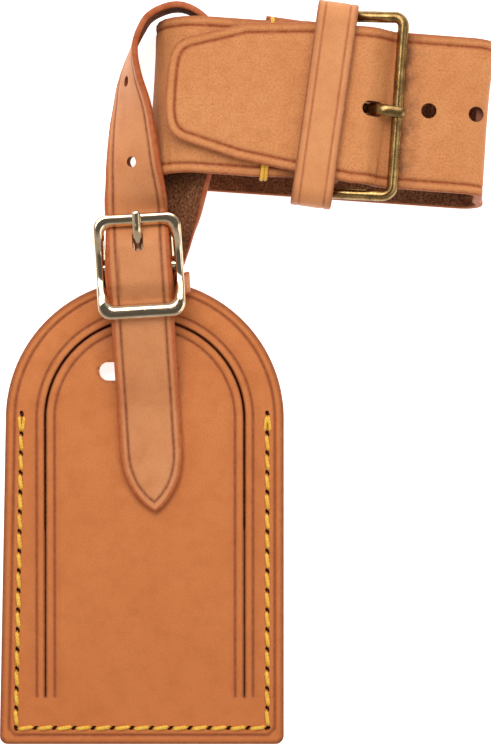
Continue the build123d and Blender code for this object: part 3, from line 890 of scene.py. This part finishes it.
strapWay = strapRoute(strapShape)
strapEnd = routeLength(strapWay)
strapHalf = strapShape["width"] / 2
tipSide = bezierRun((0, 0), (0.6, 1.5), (5.0, strapHalf), (strapShape["tip"], strapHalf))
strapPlaces = np.concatenate((np.linspace(0.04, strapShape["tip"], 90), np.arange(14.4, strapEnd, 0.5)))
halfWidths = np.interp(strapPlaces, tipSide[:, 0], tipSide[:, 1])
spread = np.exp(-((strapPlaces - 55.5) / 6.5) ** 2)     # pressed wider where it bows over the bar
strapOutline = ([(strapEnd + 5, strapHalf)] + [(x, y) for x, y in tipSide[::-1]] + [(x, -y) for x, y in tipSide] +
                [(strapEnd + 5, -strapHalf)])
strap = stripFromRoute("narrowStrap", strapWay, strapShape, -halfWidths - 0.65 * spread, halfWidths + 0.25 * spread,
                       strapOutline, strapPlaces)
for name, along, up, long, tall, depth in (("prongSlot", 5.7, 13.75, 4.8, 2.5, 4.0),
                                           ("foldGap", 0.5, 10.87, 5.4, 2.6, 4.15)):
    cutWith(strap, pillCutter(name, strapPlace(along, up) * mm, alongStrap, upward, long, tall, depth), cutEdgeSlot)
for index in (1, 4):
    x, y, z, stand = loopStations[index]
    facing = np.cross((0, -1, 0), standing(stand))
    cutWith(strap, pillCutter("spareHole", benchPoint(x, y, z) * mm, (0, 1, 0), facing,
                              strapShape["hole"] + 0.01, strapShape["hole"], 5.0), cutEdgeSlot)
smoothByAngle(strap, 50)
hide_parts("tag_strap")
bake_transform(strap)
print("narrow strap made")


# the wide band, rolled from its tongue round the ring to the fold at the heel
bandShape = {"width": 35.5, "thickness": 2.0, "centre": (39.95, 146.7), "turn": -4.0, "heel": 3.2, "heelTurn": -8.0,
             "heelHeight": 16.2, "backShift": 3.2, "lineIn": 2.15, "lineWidth": 0.4, "lineDepth": 0.24,
             "edgeRadius": 0.6, "middleColumns": 22, "tongueStart": -34.9, "hole": 3.5, "top": 18.6, "bottom": 1.0,
             "materials": (bandLeather, fleshSide, burnishedEdge)}
alongBand, acrossBand = turned(bandShape["turn"])
alongHeel, acrossHeel = turned(bandShape["heelTurn"])
ringSpot = benchPoint(*bandShape["centre"], 0.0)
heelSpot = ringSpot + alongBand * bandShape["heel"]


def ringPlace(along, up, side=0.0):
    return ringSpot + alongBand * along + acrossBand * side + upward * up


def heelPlace(along, up, side=0.0):
    return heelSpot + alongHeel * along + acrossHeel * side + upward * up


def bandRoute(values):
    # each row: where the middle of the band is, the way across it, and its thickness
    top, bottom = values["top"], values["bottom"]
    ring = roundedPath([(values["tongueStart"], 21.2), (10.3, 21.2), (15.0, 16.3), (37.5, 15.8), (37.5, bottom),
                        (-37.0, bottom), (-37.0, top), (-14.0, top)], [3.5, 3.0, 3.6, 4.0, 4.5, 11.0])
    heel = roundedPath([(-7.0, top), (2.4, top), (2.4, 13.8), (-1.0, 13.8), (-6.5, 16.5), (-18.4, 16.5)],
                       [2.39, 2.39, 3, 4])
    rows = []
    for u, z in ring:
        lean = values["backShift"] * min(1.0, max(0.0, (18.4 - z) / 17.4))      # the back wall is nearer the tag
        rows.append(np.concatenate((ringPlace(u, z, -lean), -acrossBand, [values["thickness"]])))
    rows += [np.concatenate((heelPlace(u, z), -acrossHeel, [values["thickness"]])) for u, z in heel]
    return rows


bandWay = bandRoute(bandShape)
bandEnd = routeLength(bandWay)
bandHalf = bandShape["width"] / 2
bandStart = bandShape["tongueStart"]
tip = bandStart - 0.02
upper = np.concatenate((bezierRun((tip, 1.0), (tip, 8), (tip + 0.3, 11.2), (tip + 4.6, 12.7)),
                        [(-17.8, 16.6), (-4.0, bandHalf), (8.0, bandHalf)]))
lower = np.concatenate((bezierRun((tip, 1.0), (tip, -6), (tip + 0.3, -9.4), (tip + 4.6, -11.0)),
                        [(-17.8, -14.2), (-4.0, -16.2), (8.0, -bandHalf)]))
bandPlaces = np.concatenate((np.linspace(0.0, 0.6, 9), np.linspace(0.7, 8, 60), np.arange(8.5, bandEnd, 0.55)))
topEdge, bottomEdge = (np.interp(bandPlaces + bandStart, side[:, 0], side[:, 1]) for side in (upper, lower))
bandOutline = ([(bandEnd + 5, -bandHalf)] + [(x - bandStart, -y) for x, y in upper[::-1]] +
               [(x - bandStart, -y) for x, y in lower] + [(bandEnd + 5, bandHalf)])
wideBand = stripFromRoute("wideBand", bandWay, bandShape, -topEdge, -bottomEdge, bandOutline, bandPlaces)
# the hole in use is pulled long; the last cut is the gap in the fold, where the prong turns
bandHole = bandShape["hole"]
tilted = turned((bandShape["heelTurn"] + bandShape["turn"]) / 2)[0]
for name, place, way, long, depth in (("usedHole", ringPlace(12.15, 18.5, -0.65), tilted, 5.0, 9.0),
                                      ("spareHole", ringPlace(24.9, 18.5), alongBand, bandHole + 0.01, 9.0),
                                      ("spareHole", ringPlace(35.7, 18.5), alongBand, bandHole + 0.01, 9.0),
                                      ("heelGap", heelPlace(1.0, 16.0), alongHeel, 8.0, 7.6)):
    cutWith(wideBand, pillCutter(name, place * mm, way, upward, long, bandHole, depth), cutEdgeSlot)
smoothByAngle(wideBand, 50)
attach(wideBand, "wrap")
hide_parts("wrap_band")
print("wide band made")


def closedKeeper(name, values, toBench, across):
    # a loop of leather, rolled from the middle of its underside and back to it
    wall = values["thickness"] / 2
    reach = (values["tall"] / 2 - wall) * values["way"]
    low, high = values["low"] + wall, values["high"] - wall
    corners = [(0, low), (reach, low), (reach, high), (-reach, high), (-reach, low), (0, low)]
    route = [toBench(a, b) for a, b in roundedPath(corners, [values["corner"]] * 4)]
    length = routeLength(route)
    places = np.linspace(0, length, int(length / values["step"]))
    points = alongRoute(route, places)
    along = np.gradient(points, axis=0)
    along[0] = along[-1] = points[1] - points[-2]
    along /= np.linalg.norm(along, axis=1)[:, None]
    acrossRows = np.zeros_like(points) + across
    edges = np.full(len(places), values["width"] / 2)
    return leatherStrip(name, values, places, points, acrossRows, np.cross(acrossRows, along), -edges, edges)


keeperShape = {"thickness": 1.6, "width": 9.2, "tall": 46.6, "side": -0.5, "low": 10.7, "high": 24.2, "along": -2.0,
               "corner": 3.7, "way": -1, "step": 0.5, "lineIn": 1.8, "lineWidth": 0.24, "lineDepth": 0.16,
               "edgeRadius": 0.5, "middleColumns": 6, "materials": (keeperLeather, fleshSide, burnishedEdge)}
smallKeeperShape = {"thickness": 0.65, "width": 5.0, "tall": 19.5, "side": 1.55, "low": 6.1, "high": 10.15,
                    "along": -7.0, "corner": 1.62, "way": 1, "step": 0.3, "skew": 2.6, "lineIn": 1.1,
                    "lineWidth": 0.03, "lineDepth": 0.0, "edgeRadius": 0.28, "middleColumns": 4,
                    "materials": (strapLeather, fleshSide, burnishedEdge)}


def keeperPlace(w, z):
    return heelPlace(keeperShape["along"], z, w + keeperShape["side"])


def smallKeeperPlace(x, z):
    # its right end has slipped up the strap
    slipped = smallKeeperShape["skew"] * min(1.0, max(0.0, (x - 3) / 6))
    return strapPlace(smallKeeperShape["along"] + slipped, z, x + smallKeeperShape["side"])


bandKeeper = closedKeeper("bandKeeper", keeperShape, keeperPlace, alongHeel)
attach(bandKeeper, "wrap_loop")
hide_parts("wrap_keeper")

smallKeeper = closedKeeper("strapKeeper", smallKeeperShape, smallKeeperPlace, alongStrap)
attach(smallKeeper, "strap_loop")
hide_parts("strap_keeper")
print("keepers made")


# the polished small buckle
smallBuckle = {"wide": 20.1, "tall": 24.0, "corner": 3.0, "thickness": 2.0, "windowWide": 15.2, "windowTall": 17.8,
               "windowUp": 0.3, "windowCorner": 1.6}


def roundedBox(wide, tall, corner, middle, count=14):
    # the same number of points for every size, so that two boxes match point for point
    arcs = []
    for quarter, (sx, sy) in enumerate(((1, 1), (-1, 1), (-1, -1), (1, -1))):
        turns = np.radians(90 * quarter + 90 * np.arange(count + 1) / count)
        arcs.append(np.stack((sx * (wide / 2 - corner) + corner * np.cos(turns),
                              middle + sy * (tall / 2 - corner) + corner * np.sin(turns)), axis=-1))
    points = []
    for arc, following in zip(arcs, arcs[1:] + arcs[:1]):
        points += [arc, arc[-1] + (following[0] - arc[-1]) * np.arange(1, 12)[:, None] / 12]
    return np.concatenate(points)


def smallFrame(values):
    outer = roundedBox(values["wide"], values["tall"], values["corner"], 0.0)
    inner = roundedBox(values["windowWide"], values["windowTall"], values["windowCorner"], values["windowUp"])
    # the section from the window's foot, up its bevel, over the top and down outside
    section = [(0.0, -0.72), (0.0, -0.1), (0.01, 0.16), (0.05, 0.3), (0.2, 0.74), (0.26, 0.86), (0.34, 0.93),
               (0.5, 0.99), (0.66, 1.0), (0.8, 0.97), (0.9, 0.86), (0.96, 0.66), (0.99, 0.4), (1.0, 0.12),
               (1.0, -0.6),
               (0.975, -0.8), (0.9, -0.96), (0.5, -1.0), (0.1, -0.96), (0.02, -0.84), (0.0, -0.72)]
    bar = strapShape["barHeight"]
    rail = np.array(roundedPath([(-12.1, 12.95), (-7.4, 12.95), (-3.4, bar), (3.4, bar), (7.8, 12.8), (12.1, 12.8)],
                                [3, 3, 3, 3]))
    rows = []
    for o, i in zip(np.concatenate((outer, outer[:1])), np.concatenate((inner, inner[:1]))):
        row = []
        for f, h in section:
            x, s = i + (o - i) * f
            z = float(np.interp(s, rail[:, 0], rail[:, 1])) + h * values["thickness"] / 2
            row.append(strapPlace(s, z, x))
        rows.append(row)
    rows = np.array(rows)
    frameMesh = gridSheet("smallBuckleFrame", rows.shape[0], rows.shape[1])
    placeGrid(frameMesh, rows, np.zeros(rows.shape[:2] + (2,)), {})
    closeSeams(frameMesh, 0.005)
    finishModifier(frameMesh, "SUBSURF", levels=1, render_levels=1)
    smoothByAngle(frameMesh, 60)
    return frameMesh


buckleFrame = smallFrame(smallBuckle)
giveMaterials(buckleFrame, paleGold)
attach(buckleFrame, "small_buckle")
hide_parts("small_buckle_frame")


def prongPiece(name, path, radii, toBench, across, values):
    # a tapering tongue with an eye rolled round its bar
    route = [toBench(a, b) for a, b in roundedPath(path, radii, 8)]
    places = np.linspace(0, routeLength(route), 60)
    points = alongRoute(route, places)
    t = places / places[-1]
    end = np.sqrt(np.clip(1 - np.clip((t - 0.93) / 0.07, 0, 1) ** 2, 0.02, 1))
    tipWide = values["tipWide"]
    wide = values["wide"] / 2 * np.interp(t, (0, 0.15, 0.6, 0.9, 1), (1, 1, 0.98, tipWide, tipWide))
    thick = values["thick"] / 2 * np.interp(t, (0, 0.6, 1), (1, 1, values["tipThick"]))
    ups = np.cross(across, np.gradient(points, axis=0))
    ups = np.where(ups[:, 2:3] < 0, -ups, ups)
    tongue = rodAlong(name, points, wide * end, thick * end, ups, 20, values["square"])
    turns = np.linspace(0, 2 * math.pi, 41)[:-1]
    a, b = values["eye"]
    eyeRadius = values["bar"] + 0.1 + values["eyeThick"] / 2
    eye = np.array([toBench(a + eyeRadius * math.cos(t), b + eyeRadius * math.sin(t)) for t in turns])
    out = eye - toBench(a, b)
    ring = rodAlong(name + "Eye", eye, values["wide"] / 2, values["eyeThick"] / 2, out, 16, 3.0, True)
    return joinPieces([tongue, ring], name)


bar = strapShape["barHeight"]
smallProng = prongPiece("smallBuckleProng", [(1.0, bar + 0.7), (4.2, bar + 1.15), (8.0, bar + 3.55),
                                             (12.7, bar + 3.6)], [2, 2.5], strapPlace, acrossStrap,
                        {"wide": 2.05, "thick": 1.4, "tipWide": 0.95, "tipThick": 0.85, "square": 2.6,
                         "eye": (0, bar), "bar": 0.9, "eyeThick": 0.8})
giveMaterials(smallProng, paleGold)
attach(smallProng, "small_prong")
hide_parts("small_buckle_prong")
print("small buckle made")


# the aged wire buckle on the band
wireBuckle = {"wire": 1.3, "reach": 14.0, "rise": 2.7, "half": 20.2, "corner": 2.2, "further": 0.5, "turned": 1.4,
              "aside": 1.3}


def wireFrame(values):
    heelUp = bandShape["heelHeight"]
    run = math.hypot(values["reach"], values["rise"])
    flat = roundedPath([(0, 0), (0, values["half"]), (run, values["half"]), (run, -values["half"]),
                        (0, -values["half"]), (0, -0.4)], [values["corner"]] * 4, 8)
    points = []
    for a, w in flat:
        t = a / run                 # 0 at the heel, 1 at the bar across the band
        out = values["reach"] + values["further"] - values["turned"] * w / values["half"]
        points.append(heelPlace(t * out, heelUp + t * values["rise"], w + values["aside"] * t))
    points = alongRoute(points, np.arange(0, routeLength(points), 0.4))
    normal = np.cross(alongHeel * values["reach"] + upward * values["rise"], acrossHeel)
    return rodAlong("largeBuckleWire", points, values["wire"], values["wire"], normal, 20, 2.0, True)


largeWire = wireFrame(wireBuckle)
giveMaterials(largeWire, agedBrass)
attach(largeWire, "large_buckle")
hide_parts("large_buckle_frame")
heel = bandShape["heelHeight"]
largeProng = prongPiece("largeBuckleProng", [(1.5, heel + 0.9), (7.7, heel + 2.2), (11.2, heel + 4.95),
                                            (16.5, heel + 5.0)], [2, 3], heelPlace, acrossHeel,
                        {"wide": 2.7, "thick": 1.7, "tipWide": 0.95, "tipThick": 0.6, "square": 2.4,
                         "eye": (0, heel), "bar": 1.3, "eyeThick": 0.9})
giveMaterials(largeProng, agedBrass)
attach(largeProng, "large_prong")
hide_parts("large_buckle_prong")
print("large buckle made")


# the thread across the band's fold, with its last turn over the band's edge
foldThread = {"along": -11.8, "count": 7, "span": 30.5, "under": 15.25, "over": 19.6, "wide": 0.45}


def foldStitches(values):
    # a row of stitches on both faces, then the turns of thread over the band's edges
    rows = np.linspace(-values["span"] / 2, values["span"] / 2, values["count"] + 1)
    shape = {"wide": values["wide"], "rise": 0.12, "dive": 0.7, "slant": 0.1, "gap": 0.3}
    pieces = []
    for low, high in zip(rows, rows[1:]):
        for height, up in ((values["over"], upward), (values["under"] + 0.25, -upward)):
            middle = ringPlace(values["along"], height, (low + high) / 2)
            pieces.append(stitchOnce("foldStitch", middle, acrossBand, up, high - low, shape))
    for edge, flip, k in ((-bandShape["width"] / 2, 1, 0), (-bandShape["width"] / 2, 1, 1),
                          (bandShape["width"] / 2, -1, 0)):
        along = values["along"] - 0.2 + k * 0.85
        # up from the hole, over the front, round the edge and back underneath
        loop = [(4.6, 18.4), (4.4, 19.75), (2.5, 19.95), (0.5, 19.85), (-0.35, 19.3), (-0.35, 18.0), (0.5, 17.3),
                (2.5, 17.25)]
        line = throughPoints([ringPlace(along + (z - 18.4) * 0.12, z, edge + w * flip) for w, z in loop], 6)
        ups = np.array(line) - ringPlace(along, 18.6, edge + 2.0 * flip)
        pieces.append(rodAlong("edgeTurn", line, 0.44, 0.4, ups, 12))
    return joinPieces(pieces, "bandThread")


bandThread = foldStitches(foldThread)
giveMaterials(bandThread, waxedThread)
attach(bandThread, "wrap")
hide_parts("wrap_fold_stitching")

for name, material in (("small_buckle_bar", paleGold), ("strap_fold_stitching", waxedThread),
                       ("address_card", cardStock)):
    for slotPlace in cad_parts[name].material_slots:
        slotPlace.material = material
print("threads and hidden pieces made")


studio = {"cameraHeight": 0.9, "lens": 188.3, "aimX": 0.0001, "aimY": 0.0004, "floorSize": 3.0}
pickNothing()
bpy.ops.mesh.primitive_plane_add(size=studio["floorSize"], location=(0, 0, -0.0003))
bpy.ops.object.transform_apply(location=True, rotation=True, scale=True)
floor = nameIt(bpy.context.object, "floor")
paleFloor = plainMaterial("paleFloor", (0.93, 0.93, 0.93), (0.9, 0.9, 0.9), 6.0, 0.9)
glow = next(n for n in paleFloor.node_tree.nodes if n.type == "BSDF_PRINCIPLED")
glow.inputs["Emission Color"].default_value = (1, 1, 1, 1)
glow.inputs["Emission Strength"].default_value = 0.8       # a lit backdrop, so that shadows stay light
giveMaterials(floor, paleFloor)


def softBox(name, place, size, power, aim=(0, 0, 0.01)):
    pickNothing()
    bpy.ops.object.light_add(type="AREA", location=place)
    lamp = bpy.context.object
    lamp.name = name
    lamp.data.shape = "RECTANGLE"
    lamp.data.size, lamp.data.size_y = size
    lamp.data.energy = power
    toward = Vector(aim) - Vector(place)
    lamp.rotation_euler = toward.to_track_quat("-Z", "Y").to_euler()


softBox("mainLight", (-0.2, 0.45, 0.8), (0.7, 0.5), 5.2)
softBox("fillLight", (0.6, -0.2, 0.7), (0.6, 0.8), 1.9)
softBox("farLight", (0.1, 0.95, 0.75), (0.9, 0.4), 2.4)
world = bpy.data.worlds.new("studioWorld")
bpy.context.scene.world = world
world.use_nodes = True
# bright walls and a darker ceiling, which polished metal shows as its dark tones
sky = world.node_tree
skyPlace = sky.nodes.new("ShaderNodeTexCoord")
skyParts = sky.nodes.new("ShaderNodeSeparateXYZ")
skyShade = sky.nodes.new("ShaderNodeMapRange")
sky.links.new(skyPlace.outputs["Generated"], skyParts.inputs[0])
sky.links.new(skyParts.outputs[2], skyShade.inputs[0])
for place, value in zip((1, 2, 3, 4), (0.8, 0.97, 0.5, 0.1)):
    skyShade.inputs[place].default_value = value
sky.nodes["Background"].inputs[0].default_value = (1, 1, 1, 1)
sky.links.new(skyShade.outputs[0], sky.nodes["Background"].inputs[1])
bpy.ops.object.camera_add(location=(studio["aimX"], studio["aimY"], studio["cameraHeight"]), rotation=(0, 0, 0))
camera = bpy.context.object
camera.data.lens = studio["lens"]
camera.data.clip_start = 0.01
bpy.context.scene.camera = camera
bpy.context.scene.view_settings.view_transform = "Standard"
print("scene finished")
